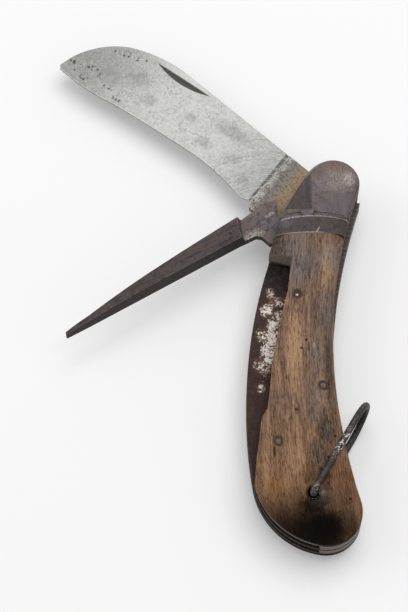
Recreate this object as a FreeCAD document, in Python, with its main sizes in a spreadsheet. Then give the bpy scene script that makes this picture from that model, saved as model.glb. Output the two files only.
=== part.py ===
import FreeCAD, Part
import math
import os
import Sketcher

# Folding clasp knife lying on its back scale, with a blade and a marlinspike on one pivot.
# Millimetres. The pivot axis is Z, the underside of the back bolster is Z = 0, the butt points to -Y.

doc = FreeCAD.newDocument("clasp_knife")

# Driving sizes
SIZES = [
    # handle outline, measured from the pivot axis
    ("handle_reach", 100.7),
    ("nose_reach", 17.7),
    ("handle_width", 31.0),
    # layers, from the back scale to the front scale
    ("scale_thickness", 5.6),
    ("liner_thickness", 0.8),
    ("blade_stock", 2.0),
    ("spike_stock", 2.2),
    ("side_play", 0.1),
    # scales and bolsters
    ("scale_rounding", 5.0),
    ("bolster_reach", 8.4),
    ("bolster_rounding", 2.0),
    ("bolster_groove_width", 1.3),
    ("bolster_groove_depth", 0.5),
    ("bolster_facet_start", 1.4),
    ("bolster_facet_low", 0.3),
    ("bolster_facet_fall", 3.5),
    # recess of the front scale for the folded spike
    ("recess_radius", 17.0),
    # pins and rivets
    ("pivot_radius", 2.0),
    ("spring_pin_radius", 1.3),
    ("butt_pin_radius", 1.0),
    ("rivet_radius", 1.25),
    ("bolster_pin_radius", 1.0),
    ("bolster_pin_reach", 3.5),
    ("rivet_play", 0.02),
    ("running_play", 0.05),
    # blade
    ("blade_length", 94.1),
    ("blade_spine", 20.8),
    ("ricasso_length", 18.1),
    ("blade_tang_radius", 6.4),
    ("blade_relief", 0.1),
    ("plunge_width", 0.9),
    ("plunge_depth", 0.35),
    ("grind_start", 14.0),
    ("grind_end", 4.0),
    ("edge_thickness", 0.35),
    ("nick_length", 21.5),
    ("nick_height", 2.3),
    ("nick_depth", 0.7),
    # spike
    ("spike_length", 79.4),
    ("spike_height", 5.9),
    ("spike_tang_radius", 6.4),
    ("spike_block_height", 10.8),
    ("spike_step_radius", 19.2),
    ("spike_step_run", 2.6),
    ("spike_tip_height", 2.0),
    # springs
    ("spring_end_reach", 5.9),
    ("spring_end_side", 16.0),
    ("spring_gap", 0.15),
    # bail
    ("wire_radius", 0.95),
    ("bail_reach", 32.0),
    ("bail_bend_radius", 1.6),
    ("bail_side_gap", 0.1),
    ("bail_play", 0.08),
    ("bail_wear_radius", 2.3),
    ("bail_wear_depth", 1.6),
    # room for cuts to run past what they cut
    ("overrun", 4.0),
    # angles of the open tools and the bail, in degrees from +X
    ("blade_angle", 142.7),
    ("spike_angle", 208.0),
    ("bail_angle", 60.0),
]

sheet = doc.addObject("Spreadsheet::Sheet", "Dims")
aliases = []


def note_size(alias, value):
    """Put one named size in the sheet."""
    aliases.append(alias)
    row = len(aliases)
    sheet.set(f"A{row}", alias)
    sheet.set(f"B{row}", str(value))
    sheet.setAlias(f"B{row}", alias)


for alias, value in SIZES:
    note_size(alias, value)
doc.recompute()


class Length:
    """A length with the sheet formula that gives it."""

    def __init__(self, number, formula):
        self.number = number
        self.formula = formula

    def __add__(self, other):
        return Length(self.number + other.number, f"({self.formula} + {other.formula})")

    def __sub__(self, other):
        return Length(self.number - other.number, f"({self.formula} - {other.formula})")

    def __mul__(self, share):
        return Length(self.number * share, f"({self.formula} * {share})")

    def __neg__(self):
        return self * -1


def dim(alias):
    return Length(float(sheet.get(alias)), f"Dims.{alias}")


ZERO = Length(0.0, "0")
OVERRUN = dim("overrun")

# Layers
slot_back = dim("blade_stock") + dim("side_play") * 2
slot_front = dim("spike_stock") + dim("side_play") * 2
back_liner_level = dim("scale_thickness")
blade_slot_level = back_liner_level + dim("liner_thickness")
center_liner_level = blade_slot_level + slot_back
spike_slot_level = center_liner_level + dim("liner_thickness")
front_liner_level = spike_slot_level + slot_front
front_scale_level = front_liner_level + dim("liner_thickness")
front_level = front_scale_level + dim("scale_thickness")
middle_level = front_level * 0.5

# Handle outline as shares of its width, its reach to the butt and its reach to the nose.
# Each row is x, y below the pivot, y above the pivot, and the turn of the run to the next row.
OUTLINE_SHARES = {
    "shoulder": (-0.248, 0.002, 0.0, 0.0),
    "hip": (-0.374, 0.144, 0.0, 25.0),
    "heel": (-0.535, 0.812, 0.0, 70.6),
    "butt": (0.048, 1.0, 0.0, 117.0),
    "back": (0.416, 0.877, 0.0, -33.0),
    "neck": (0.429, 0.0, 0.0847, 0.0),
    "cheek": (0.492, 0.0, 0.4156, 0.0),
    "brow": (0.0073, 0.0, 0.7327, 0.0),
}
NOSE_TURN_SHARE = 0.761


def vector(x, y):
    return FreeCAD.Vector(x.number, y.number, 0)


def bearing(start, end):
    """Direction from one point to another, in degrees from 0 to 360."""
    return math.degrees(math.atan2(end.y - start.y, end.x - start.x)) % 360


def heading(degrees):
    return FreeCAD.Vector(math.cos(math.radians(degrees)), math.sin(math.radians(degrees)), 0)


def outline_rows():
    """Named outline rows, with the nose rounded by two arcs that leave no corner."""
    rows = {
        name: (dim("handle_width") * x, dim("nose_reach") * up - dim("handle_reach") * down, turn)
        for name, (x, down, up, turn) in OUTLINE_SHARES.items()
    }
    spots = {name: vector(x, y) for name, (x, y, _) in rows.items()}
    arrival = bearing(spots["back"], spots["neck"]) + rows["back"][2] / 2
    neck_turn = 2 * (bearing(spots["neck"], spots["cheek"]) - arrival)
    leave = arrival + neck_turn
    target = bearing(spots["brow"], spots["shoulder"])
    first_turn = (target - leave) * NOSE_TURN_SHARE
    last_turn = target - leave - first_turn
    first = heading(leave + first_turn / 2)
    last = heading(target - last_turn / 2)
    across = spots["brow"] - spots["cheek"]
    run = across.cross(last).z / first.cross(last).z
    nose = spots["cheek"] + first * run
    width = dim("handle_width")
    top = dim("nose_reach")
    rows["neck"] = rows["neck"][:2] + (neck_turn,)
    rows["cheek"] = rows["cheek"][:2] + (first_turn,)
    rows["nose"] = (width * (nose.x / width.number), top * (nose.y / top.number), last_turn)
    rows["brow"] = rows.pop("brow")
    return rows


def handle_outline():
    return list(outline_rows().values())


# Places of the pins, as shares of the handle's width and reach
PLACE_SHARES = {
    "pivot": (0.0, 0.0),
    "spring_pin": (0.103, -0.549),
    "butt_pin": (0.078, -0.856),
    "upper_rivet": (-0.113, -0.270),
    "lower_rivet": (-0.310, -0.712),
    "bolster_pin": (0.22, -0.055),
    "bail": (-0.007, -0.859),
}


def place(name):
    x, y = PLACE_SHARES[name]
    return dim("handle_width") * x, dim("handle_reach") * y


# Sketching


def origin_plane(body, role):
    return next(feature for feature in body.Origin.OriginFeatures if feature.Role == role)


def new_body(label, level, angle=None, at=None):
    """A body whose sketches start at the given level, turned and placed by sheet formulas."""
    body = doc.addObject("PartDesign::Body", label)
    body.Label = label
    body.Placement = FreeCAD.Placement(FreeCAD.Vector(), FreeCAD.Rotation(FreeCAD.Vector(0, 0, 1), 0))
    body.setExpression("Placement.Base.z", level.formula)
    if angle:
        body.Placement.Rotation = FreeCAD.Rotation(FreeCAD.Vector(0, 0, 1), dim(angle).number)
        body.setExpression("Placement.Rotation.Angle", dim(angle).formula)
    if at:
        body.setExpression("Placement.Base.x", at[0].formula)
        body.setExpression("Placement.Base.y", at[1].formula)
    return body


def new_sketch(body, name, role="XY_Plane", offset=ZERO):
    sketch = body.newObject("Sketcher::SketchObject", f"{body.Label}_{name}")
    sketch.AttachmentSupport = (origin_plane(body, role), [""])
    sketch.MapMode = "FlatFace"
    if offset is not ZERO:
        sketch.setExpression("AttachmentOffset.Base.z", offset.formula)
    return sketch


def run_curve(start, end, turn):
    """Straight run, or the arc that turns by so many degrees from start to end."""
    if not turn:
        return Part.LineSegment(start, end)
    chord = end - start
    side = FreeCAD.Vector(chord.y, -chord.x, 0)
    middle = (start + end) * 0.5 + side * (0.5 * math.tan(math.radians(turn) / 4))
    return Part.Arc(start, middle, end)


def pin_point(sketch, geometry, end, x, y):
    """Hold a sketch point at formula coordinates."""
    for kind, axis, length in (("DistanceX", -2, x), ("DistanceY", -1, y)):
        if length.number == 0:
            sketch.addConstraint(Sketcher.Constraint("PointOnObject", geometry, end, axis))
            continue
        index = sketch.addConstraint(Sketcher.Constraint(kind, -1, 1, geometry, end, length.number))
        sketch.setExpression(f"Constraints[{index}]", length.formula)


def add_outline(sketch, nodes, closed=True):
    """Run of lines and arcs through nodes (x, y, turn of the run that leaves the node)."""
    first = sketch.GeometryCount
    count = len(nodes) if closed else len(nodes) - 1
    ends = []
    for index in range(count):
        x, y, turn = nodes[index]
        next_x, next_y, _ = nodes[(index + 1) % len(nodes)]
        geometry = sketch.addGeometry(run_curve(vector(x, y), vector(next_x, next_y), turn))
        ends.append((2, 1) if turn < 0 else (1, 2))
        if turn:
            sketch.addConstraint(Sketcher.Constraint("Angle", geometry, math.radians(abs(turn))))
    for index in range(count):
        x, y, _ = nodes[index]
        pin_point(sketch, first + index, ends[index][0], x, y)
        if closed or index + 1 < count:
            following = (index + 1) % count
            joint = (first + index, ends[index][1], first + following, ends[following][0])
            sketch.addConstraint(Sketcher.Constraint("Coincident", *joint))
    if not closed:
        x, y, _ = nodes[-1]
        pin_point(sketch, first + count - 1, ends[-1][1], x, y)


def add_rectangle(sketch, left, right, low, high):
    corners = [(left, low), (right, low), (right, high), (left, high)]
    add_outline(sketch, [(x, y, 0) for x, y in corners])


def add_circle(sketch, x, y, radius):
    circle = Part.Circle(vector(x, y), FreeCAD.Vector(0, 0, 1), radius.number)
    geometry = sketch.addGeometry(circle)
    pin_point(sketch, geometry, 3, x, y)
    index = sketch.addConstraint(Sketcher.Constraint("Radius", geometry, radius.number))
    sketch.setExpression(f"Constraints[{index}]", radius.formula)


def settle(feature):
    """Recompute, and stop at a feature that fails."""
    doc.recompute()
    if {"Invalid", "Error"} & set(feature.State) or feature.Shape.isNull():
        raise RuntimeError(f"{feature.Label} fails")
    return feature


def pad(body, sketch, length, reverse=False):
    feature = body.newObject("PartDesign::Pad", f"{sketch.Label}_pad")
    feature.Profile = sketch
    feature.Reversed = reverse
    feature.setExpression("Length", length.formula)
    return settle(feature)


def pocket(body, sketch, depth=None, both_ways=False, reverse=False):
    """Cut a sketch into the body: right through, or to a depth along the sketch's normal."""
    before = body.Shape.Volume
    feature = body.newObject("PartDesign::Pocket", f"{sketch.Label}_cut")
    feature.Profile = sketch
    feature.Reversed = reverse
    if depth:
        feature.setExpression("Length", depth.formula)
    else:
        feature.Type = "ThroughAll"
    if both_ways:
        feature.SideType = "Symmetric"
    settle(feature)
    if not body.Shape.Volume < before:
        raise RuntimeError(f"{feature.Label} cuts nothing")
    return feature


def drill(body, holes):
    """Holes right through, each given by the place's name and a radius."""
    sketch = new_sketch(body, "holes")
    for name, radius in holes:
        x, y = place(name)
        add_circle(sketch, x, y, radius)
    pocket(body, sketch, both_ways=True)


def hole(name):
    return dim(name) + dim("rivet_play")


def surface_height(body, x, y):
    """Thickness of a body where a line along Z passes through it."""
    span = front_level.number
    foot = FreeCAD.Vector(x.number, y.number, -span)
    line = Part.makeLine(foot, foot + FreeCAD.Vector(0, 0, 3 * span))
    return round(line.common(body.Shape).Length, 3)


# Line where bolsters and scales meet: an arch across the handle
ARCH_SHARES = [(-0.34, 20.0), (0.42, 0.0)]


def arch_region(side):
    """Everything on one side of the arch: side 1 is the nose, side -1 is the butt."""
    (left, turn), (right, _) = ARCH_SHARES
    low = -dim("bolster_reach")
    far = (dim("nose_reach") if side > 0 else -dim("handle_reach")) + OVERRUN * side
    west = -dim("handle_width")
    east = dim("handle_width")
    return [
        (west, low, 0),
        (dim("handle_width") * left, low, -turn),
        (dim("handle_width") * right, low, 0),
        (east, low, 0),
        (east, far, 0),
        (west, far, 0),
    ]


def trim_to_outline(body):
    """Cut away all that stands outside the handle outline."""
    ring = new_sketch(body, "trim")
    add_outline(ring, handle_outline())
    west = -dim("handle_width")
    east = dim("handle_width")
    add_rectangle(ring, west, east, -dim("handle_reach") - OVERRUN, dim("nose_reach") + OVERRUN)
    pocket(body, ring, both_ways=True)


# Recess for the folded spike, cut through the front scale and the front liner.
# The top stays inside the sweep of the spike's step, the right edge runs down to the handle's left side.
RECESS_TOP_SHARES = [(-0.894, -0.710), (-0.291, -0.900)]
RECESS_TOP_ANGLE = 8.0
RECESS_EDGE_SHARES = [
    (-0.197, -0.256, 3.0),
    (-0.355, -0.477, -4.0),
    (-0.402, -0.619, 30.0),
    (-0.465, -0.664, -8.0),
    (-0.500, -0.745, 0.0),
    (-0.527, -0.840, 0.0),
    (-0.800, -0.840, 0.0),
]


def recess_outline():
    top = [
        (dim("recess_radius") * x, dim("recess_radius") * y, turn)
        for (x, y), turn in zip(RECESS_TOP_SHARES, (RECESS_TOP_ANGLE, 0))
    ]
    edge = [
        (dim("handle_width") * x, dim("handle_reach") * y, turn)
        for x, y, turn in RECESS_EDGE_SHARES
    ]
    corner = [(dim("handle_width") * RECESS_EDGE_SHARES[-1][0], top[0][1], 0)]
    return top + edge + corner


def cut_recess(body):
    recess = new_sketch(body, "recess")
    add_outline(recess, recess_outline())
    pocket(body, recess, both_ways=True)


# Liners


def build_liner(label, level, holes, recess):
    body = new_body(label, level)
    plan = new_sketch(body, "plan")
    add_outline(plan, handle_outline())
    pad(body, plan, dim("liner_thickness"))
    if recess:
        cut_recess(body)
    drill(body, holes)
    return body


THROUGH_HOLES = [
    ("pivot", hole("pivot_radius")),
    ("spring_pin", hole("spring_pin_radius")),
    ("butt_pin", hole("butt_pin_radius")),
]
RIVET_HOLES = [("upper_rivet", hole("rivet_radius")), ("lower_rivet", hole("rivet_radius"))]
BAIL_HOLE = [("bail", dim("wire_radius") + dim("bail_play"))]
OUTER_HOLES = THROUGH_HOLES + RIVET_HOLES + BAIL_HOLE
BOLSTER_PIN_HOLE = [("bolster_pin", hole("bolster_pin_radius"))]

build_liner("back_liner", back_liner_level, OUTER_HOLES + BOLSTER_PIN_HOLE, False)
build_liner("center_liner", center_liner_level, THROUGH_HOLES, False)
build_liner("front_liner", front_liner_level, OUTER_HOLES + BOLSTER_PIN_HOLE, True)

# Scales: sections across the handle from the bolster to the butt.
# Each row is y, left side, right side, crown height and edge height.
SCALE_SHARES = [
    (-0.050, -0.290, 0.371, 0.985, 0.30),
    (-0.297, -0.497, 0.232, 0.990, 0.30),
    (-0.574, -0.587, 0.231, 0.840, 0.28),
    (-0.832, -0.523, 0.375, 0.500, 0.21),
    (-1.010, -0.160, 0.290, 0.190, 0.12),
]


def scale_section(left, right, crown, edge, side):
    """Flat crown with a rounded shoulder at each side, and a ledge beyond the outline."""
    shoulder = dim("scale_rounding")
    turn = 2 * math.degrees(math.atan2((crown - edge).number, shoulder.number)) * side
    west = left - OVERRUN
    east = right + OVERRUN
    top = crown * side
    rim = edge * side
    return [
        (west, ZERO, 0),
        (east, ZERO, 0),
        (east, rim, 0),
        (right, rim, turn),
        (right - shoulder, top, 0),
        (left + shoulder, top, turn),
        (left, rim, 0),
        (west, rim, 0),
    ]


def build_scale(label, level, side):
    body = new_body(label, level)
    sections = []
    for index, (y, left, right, crown, edge) in enumerate(SCALE_SHARES):
        section = new_sketch(body, f"section_{index}", "XZ_Plane", -dim("handle_reach") * y)
        width = dim("handle_width")
        thickness = dim("scale_thickness")
        add_outline(
            section,
            scale_section(width * left, width * right, thickness * crown, thickness * edge, side),
        )
        sections.append(section)
    doc.recompute()
    blank = body.newObject("PartDesign::AdditiveLoft", f"{label}_blank")
    blank.Profile = sections[0]
    blank.Sections = sections[1:]
    settle(blank)
    trim_to_outline(body)
    above = new_sketch(body, "above_arch")
    add_outline(above, arch_region(1))
    pocket(body, above, both_ways=True)
    return body


BAIL_WEAR_SHARE = 0.3


def finish_scale(body, side, recess):
    """Recess, pin holes and the worn mouth of the bail hole."""
    if recess:
        cut_recess(body)
    drill(body, OUTER_HOLES[1:])
    bore = dim("wire_radius") + dim("bail_play")
    wear = body.newObject("PartDesign::SubtractiveCone", f"{body.Label}_wear")
    wear.AttachmentSupport = (origin_plane(body, "XY_Plane"), [""])
    wear.MapMode = "FlatFace"
    foot = dim("scale_thickness") * BAIL_WEAR_SHARE
    low = foot if side > 0 else -foot - dim("bail_wear_depth")
    radii = [bore, dim("bail_wear_radius")][::side]
    x, y = place("bail")
    for name, length in zip("xyz", (x, y, low)):
        wear.setExpression(f"AttachmentOffset.Base.{name}", length.formula)
    wear.setExpression("Radius1", radii[0].formula)
    wear.setExpression("Radius2", radii[1].formula)
    wear.setExpression("Height", dim("bail_wear_depth").formula)
    settle(wear)


back_scale = build_scale("back_scale", back_liner_level, -1)
front_scale = build_scale("front_scale", front_scale_level, 1)
for name in ("spring_pin", "butt_pin", "upper_rivet", "lower_rivet"):
    note_size(f"{name}_wood", surface_height(back_scale, *place(name)))
doc.recompute()
finish_scale(back_scale, -1, False)
finish_scale(front_scale, 1, True)

# Bolsters
FACET_RUN_SHARE = 0.35
GROOVE_SHARES = [(-0.29, -0.286, -37.0), (0.42, -0.369, 0.0)]


def groove_outline():
    """Band across the bolster, as wide as the groove."""
    (left, left_drop, turn), (right, right_drop, _) = GROOVE_SHARES
    west = dim("handle_width") * left
    east = dim("handle_width") * right
    low = dim("bolster_reach") * left_drop - dim("bolster_groove_width") * 0.5
    end = dim("bolster_reach") * right_drop - dim("bolster_groove_width") * 0.5
    width = dim("bolster_groove_width")
    return [(west, low, turn), (east, end, 0), (east, end + width, -turn), (west, low + width, 0)]


def cut_facet(body, crown, side):
    """Slanted flat on the left of the nose, falling away from the crown."""
    name = "facet_front" if side > 0 else "facet_back"
    facet = new_sketch(body, name, "XZ_Plane", -dim("bolster_facet_low"))
    start = dim("bolster_facet_start")
    end = start - dim("handle_width") * FACET_RUN_SHARE
    fall = dim("bolster_facet_fall") * side
    corners = [(start, crown), (end, crown - fall), (end, crown + OVERRUN * side)]
    add_outline(facet, [(x, z, 0) for x, z in corners])
    pocket(body, facet)


def build_bolster(label, level, side):
    body = new_body(label, level)
    plan = new_sketch(body, "plan")
    add_outline(plan, handle_outline())
    thickness = dim("scale_thickness")
    pad(body, plan, thickness, reverse=side < 0)
    below = new_sketch(body, "below_arch")
    add_outline(below, arch_region(-1))
    pocket(body, below, both_ways=True)
    crown = thickness * side
    block = body.Tip
    rim = [
        f"Edge{number}"
        for number, edge in enumerate(block.Shape.Edges, start=1)
        if all(abs(vertex.Z - crown.number) < dim("rivet_play").number for vertex in edge.Vertexes)
        and max(vertex.Y for vertex in edge.Vertexes) > -dim("bolster_reach").number / 2
    ]
    rounding = body.newObject("PartDesign::Fillet", f"{label}_rim")
    rounding.Base = (block, rim)
    rounding.setExpression("Radius", dim("bolster_rounding").formula)
    settle(rounding)
    cut_facet(body, crown, side)
    groove = new_sketch(body, "groove", offset=crown)
    add_outline(groove, groove_outline())
    pocket(body, groove, dim("bolster_groove_depth"), reverse=side < 0)
    drill(body, THROUGH_HOLES[:1])
    blind = new_sketch(body, "blind_hole")
    add_circle(blind, *place("bolster_pin"), hole("bolster_pin_radius"))
    pocket(body, blind, dim("bolster_pin_reach"), reverse=side > 0)
    return body


build_bolster("back_bolster", back_liner_level, -1)
build_bolster("front_bolster", front_scale_level, 1)

# Back springs: the butt and the back follow the handle, the free arm stands lifted by the tang.
# Rows run up the inner edge from the butt to the free end as shares of the handle.
SPRING_INNER_SHARES = [
    (0.181, -0.158),
    (0.123, -0.297),
    (0.026, -0.515),
    (0.019, -0.594),
    (-0.019, -0.792),
    (-0.019, -0.891),
]
SPRING_BEND_SHARES = (0.213, -0.420)
SPRING_BACK_ANGLE = -16.9
SPRING_ARM_ANGLE = -14.0


def build_spring(label, level, thickness):
    body = new_body(label, level)
    plan = new_sketch(body, "plan")
    outline = outline_rows()
    end = dim("spring_end_reach")
    inner = dim("blade_tang_radius") + dim("spring_gap")
    bend_x, bend_y = SPRING_BEND_SHARES
    nodes = [
        outline["butt"],
        outline["back"][:2] + (SPRING_BACK_ANGLE,),
        (dim("handle_width") * bend_x, dim("handle_reach") * bend_y, SPRING_ARM_ANGLE),
        (dim("spring_end_side"), end, 0),
        (inner, end, 0),
        (inner, -dim("spring_gap") - dim("pivot_radius"), 0),
    ]
    nodes += [
        (dim("handle_width") * x, dim("handle_reach") * y, 0) for x, y in SPRING_INNER_SHARES
    ]
    add_outline(plan, nodes)
    pad(body, plan, thickness)
    drill(body, THROUGH_HOLES[1:])
    return body


build_spring("blade_spring", blade_slot_level, slot_back)
build_spring("spike_spring", spike_slot_level, slot_front)

# Blade, drawn along +X from the pivot with its cutting edge on +Y.
# Rows run from the shoulder along the spine to the tip and back along the edge.
BLADE_SHARES = [
    (0.068, -0.731, 0.0),
    (0.632, -1.0, 28.7),
    (0.857, -0.861, 42.0),
    (0.989, -0.187, 0.0),
    (1.0, -0.010, 0.0),
    (0.991, 0.043, 17.0),
    (0.765, 0.046, -3.0),
    (0.446, 0.010, -15.5),
    (0.228, 0.173, 0.0),
    (0.204, 0.139, 0.0),
    (0.181, 0.249, 0.0),
]
BLADE_TANG_SHARES = [
    (0.5, 0.866, 178.0),
    (-0.530, -0.848, 0.0),
    (0.531, -0.844, 0.0),
    (1.031, -1.0, 0.0),
]
NICK_SHARES = (0.638, -0.905)


def build_blade():
    stock = dim("blade_stock")
    body = new_body("blade", blade_slot_level + dim("side_play"), "blade_angle")
    plan = new_sketch(body, "plan")
    nodes = [
        (dim("blade_length") * x, dim("blade_spine") * y, turn) for x, y, turn in BLADE_SHARES
    ]
    nodes += [
        (dim("blade_tang_radius") * x, dim("blade_tang_radius") * y, turn)
        for x, y, turn in BLADE_TANG_SHARES
    ]
    add_outline(plan, nodes)
    pad(body, plan, stock)

    # hollow between ricasso and ground faces
    middle = stock * 0.5
    west = -dim("blade_spine") - OVERRUN * 2
    east = OVERRUN * 2
    plunge = new_sketch(body, "plunge", "YZ_Plane", dim("ricasso_length"))
    add_rectangle(plunge, west, east, stock - dim("plunge_depth"), stock + OVERRUN)
    add_rectangle(plunge, west, east, -OVERRUN, dim("plunge_depth"))
    pocket(body, plunge, dim("plunge_width"), reverse=True)

    # flat grind of both faces, from below the spine to the edge
    grind = new_sketch(body, "grind", "YZ_Plane", dim("ricasso_length"))
    for side in (1, -1):
        face = middle + (middle - dim("blade_relief")) * side
        edge = middle + dim("edge_thickness") * (0.5 * side)
        out = middle + (middle + OVERRUN) * side
        ridge = -dim("grind_start")
        lip = dim("grind_end")
        far = lip + OVERRUN * 2
        rows = [(west, face), (ridge, face), (lip, edge), (far, edge), (far, out), (west, out)]
        add_outline(grind, [(x, z, 0) for x, z in rows])
    pocket(body, grind, reverse=True)

    # nail nick: a wheel-shaped cut that dips into the front face
    along, across = NICK_SHARES
    depth = dim("nick_depth")
    wheel = (dim("nick_length").number ** 2 / 8 + depth.number**2 / 2) / depth.number
    nick = new_sketch(body, "nick", "YZ_Plane", dim("blade_length") * along)
    wall = dim("blade_spine") * across
    face = stock - dim("blade_relief")
    rise = depth * 0.5
    mouth = wall + dim("nick_height") * 1.5
    rows = [(wall, face - depth), (mouth, face + rise), (wall, face + rise)]
    add_outline(nick, [(x, z, 0) for x, z in rows])
    axis_level = face - depth + depth * (wheel / depth.number)
    axis = nick.addGeometry(Part.LineSegment(vector(wall, axis_level), vector(mouth, axis_level)), True)
    pin_point(nick, axis, 1, wall, axis_level)
    pin_point(nick, axis, 2, mouth, axis_level)
    doc.recompute()
    before = body.Shape.Volume
    cut = body.newObject("PartDesign::Groove", "blade_nick_cut")
    cut.Profile = nick
    cut.ReferenceAxis = (nick, ["Axis0"])
    cut.Angle = 360
    settle(cut)
    if not body.Shape.Volume < before:
        raise RuntimeError("the nail nick cuts nothing")

    bore = new_sketch(body, "bore")
    add_circle(bore, ZERO, ZERO, dim("pivot_radius") + dim("running_play"))
    pocket(body, bore, both_ways=True)


build_blade()

# Spike, drawn along +X from the pivot.
# Rows run from the block behind the tang along the back to the tip and return along the belly.
SPIKE_SHARES = [
    (0.091, -0.306, 0.0),
    (0.052, -0.981, 0.0),
    (0.113, -1.009, 0.0),
    (0.218, -0.843, 3.0),
    (0.888, -0.139, 4.0),
    (0.990, -0.042, 150.0),
    (0.990, 0.032, 0.0),
    (0.898, 0.009, 0.0),
    (0.263, -0.231, 0.0),
    (0.195, -0.231, 0.0),
    (0.178, -0.139, 0.0),
    (0.165, 0.148, 0.0),
    (0.101, 0.417, 0.0),
]
SPIKE_TANG_SHARES = [(0.469, 0.883, 269.0), (0.875, -0.484, 0.0)]
SPIKE_TAPER_SHARE = 0.6
SPIKE_TAPER_ANGLE = 12.0


def build_spike():
    body = new_body("spike", spike_slot_level + dim("side_play"), "spike_angle")
    plan = new_sketch(body, "plan")
    nodes = [
        (dim("spike_length") * x, dim("spike_block_height") * y, turn) for x, y, turn in SPIKE_SHARES
    ]
    nodes += [
        (dim("spike_tang_radius") * x, dim("spike_tang_radius") * y, turn)
        for x, y, turn in SPIKE_TANG_SHARES
    ]
    add_outline(plan, nodes)
    pad(body, plan, dim("spike_height"))

    # thin tang: a cone about the pivot leaves a step that swings clear of the handle
    rise = dim("spike_height") - dim("spike_stock") + OVERRUN
    step = body.newObject("PartDesign::SubtractiveCone", "spike_step")
    step.AttachmentSupport = (origin_plane(body, "XY_Plane"), [""])
    step.MapMode = "FlatFace"
    step.setExpression("AttachmentOffset.Base.z", dim("spike_stock").formula)
    step.setExpression("Radius1", dim("spike_step_radius").formula)
    step.setExpression("Radius2", (dim("spike_step_radius") + dim("spike_step_run")).formula)
    step.setExpression("Height", rise.formula)
    settle(step)

    # the top falls in a long arc to the tip
    taper = new_sketch(body, "taper", "XZ_Plane")
    start = dim("spike_length") * SPIKE_TAPER_SHARE
    tip = dim("spike_length") + OVERRUN
    top = dim("spike_height")
    nodes = [
        (start, top, -SPIKE_TAPER_ANGLE),
        (tip, dim("spike_tip_height"), 0),
        (tip, top + OVERRUN, 0),
        (start, top + OVERRUN, 0),
    ]
    add_outline(taper, nodes)
    pocket(body, taper, both_ways=True)

    bore = new_sketch(body, "bore")
    add_circle(bore, ZERO, ZERO, dim("pivot_radius") + dim("running_play"))
    pocket(body, bore, both_ways=True)


build_spike()

# Pins and rivets


def build_pin(label, name, radius, low, high):
    body = new_body(label, low, at=place(name))
    plan = new_sketch(body, "plan")
    add_circle(plan, ZERO, ZERO, dim(radius))
    pad(body, plan, high - low)
    return body


pivot_pin = build_pin("pivot_pin", "pivot", "pivot_radius", ZERO, front_level)
cut_facet(pivot_pin, front_level, 1)
cut_facet(pivot_pin, ZERO, -1)
for name in ("spring_pin", "butt_pin"):
    low = back_liner_level - dim(f"{name}_wood")
    high = front_scale_level + dim(f"{name}_wood")
    build_pin(name, name, f"{name}_radius", low, high)
for name in ("upper_rivet", "lower_rivet"):
    wood = dim(f"{name}_wood")
    build_pin(f"back_{name}", name, "rivet_radius", back_liner_level - wood, blade_slot_level)
    build_pin(f"front_{name}", name, "rivet_radius", front_liner_level, front_scale_level + wood)
back_end = back_liner_level - dim("bolster_pin_reach")
front_end = front_scale_level + dim("bolster_pin_reach")
build_pin("back_bolster_pin", "bolster_pin", "bolster_pin_radius", back_end, blade_slot_level)
build_pin("front_bolster_pin", "bolster_pin", "bolster_pin_radius", front_liner_level, front_end)


# Bail: a bent wire whose ends turn in both scales and both outer liners
def build_bail():
    body = new_body("bail", middle_level, "bail_angle", place("bail"))
    leg = middle_level - dim("wire_radius") - dim("bail_side_gap")
    end = front_liner_level + dim("side_play") - middle_level
    bend = dim("bail_bend_radius")
    loop = dim("bail_reach") - leg
    path = new_sketch(body, "path", "XZ_Plane")
    nodes = [
        (ZERO, -end, 0),
        (ZERO, bend - leg, 90),
        (bend, -leg, 0),
        (loop, -leg, 180),
        (loop, leg, 0),
        (bend, leg, 90),
        (ZERO, leg - bend, 0),
        (ZERO, end, 0),
    ]
    add_outline(path, nodes, closed=False)
    wire = new_sketch(body, "wire", "XY_Plane", -end)
    add_circle(wire, ZERO, ZERO, dim("wire_radius"))
    doc.recompute()
    sweep = body.newObject("PartDesign::AdditivePipe", "bail_sweep")
    sweep.Profile = wire
    sweep.Spine = path
    settle(sweep)


build_bail()

# Check and write every sub-part
doc.recompute()
broken = [item.Label for item in doc.Objects if {"Invalid", "Error"} & set(item.State)]
if broken:
    raise RuntimeError(f"broken features: {broken}")
os.makedirs("parts", exist_ok=True)
for body in doc.findObjects("PartDesign::Body"):
    shape = body.Shape
    if shape.isNull() or not shape.isValid() or len(shape.Solids) != 1:
        raise RuntimeError(f"{body.Label} is not one valid solid")
    shape.exportStep(f"parts/{body.Label}.step")
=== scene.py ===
import math

import bmesh
import bpy
from bpy.props import FloatProperty, FloatVectorProperty, PointerProperty
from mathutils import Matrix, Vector

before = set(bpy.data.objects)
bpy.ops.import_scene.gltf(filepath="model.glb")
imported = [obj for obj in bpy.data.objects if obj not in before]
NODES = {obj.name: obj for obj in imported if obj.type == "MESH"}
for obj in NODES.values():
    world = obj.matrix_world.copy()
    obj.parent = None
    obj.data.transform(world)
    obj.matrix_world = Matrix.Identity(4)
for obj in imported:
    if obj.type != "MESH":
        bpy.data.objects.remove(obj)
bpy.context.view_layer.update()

bl_info = {
    "name": "Clasp knife",
    "version": (1, 0, 0),
    "blender": (4, 5, 0),
    "location": "View3D > Sidebar > Knife",
    "description": "Dresses a folding clasp knife with worn wood, patinated iron and grey steel",
    "category": "Object",
}

MM = 1000.0

# Places in the row frame, in millimetres and degrees. A spot stands with its half sizes, and a band
# is where a mask starts and ends. Pitches are a pattern's repeats for each millimetre of its axes.
PIVOT = (0.0, 0.0)
RIVETS = ((-3.5, -27.19), (3.19, -55.28), (-9.61, -71.7))
BUTT_PIN = (2.42, -86.2)
BAIL_HOLE = (-0.22, -86.5)
BLADE_ANGLE = 142.7
SPIKE_ANGLE = 208.0

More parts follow.
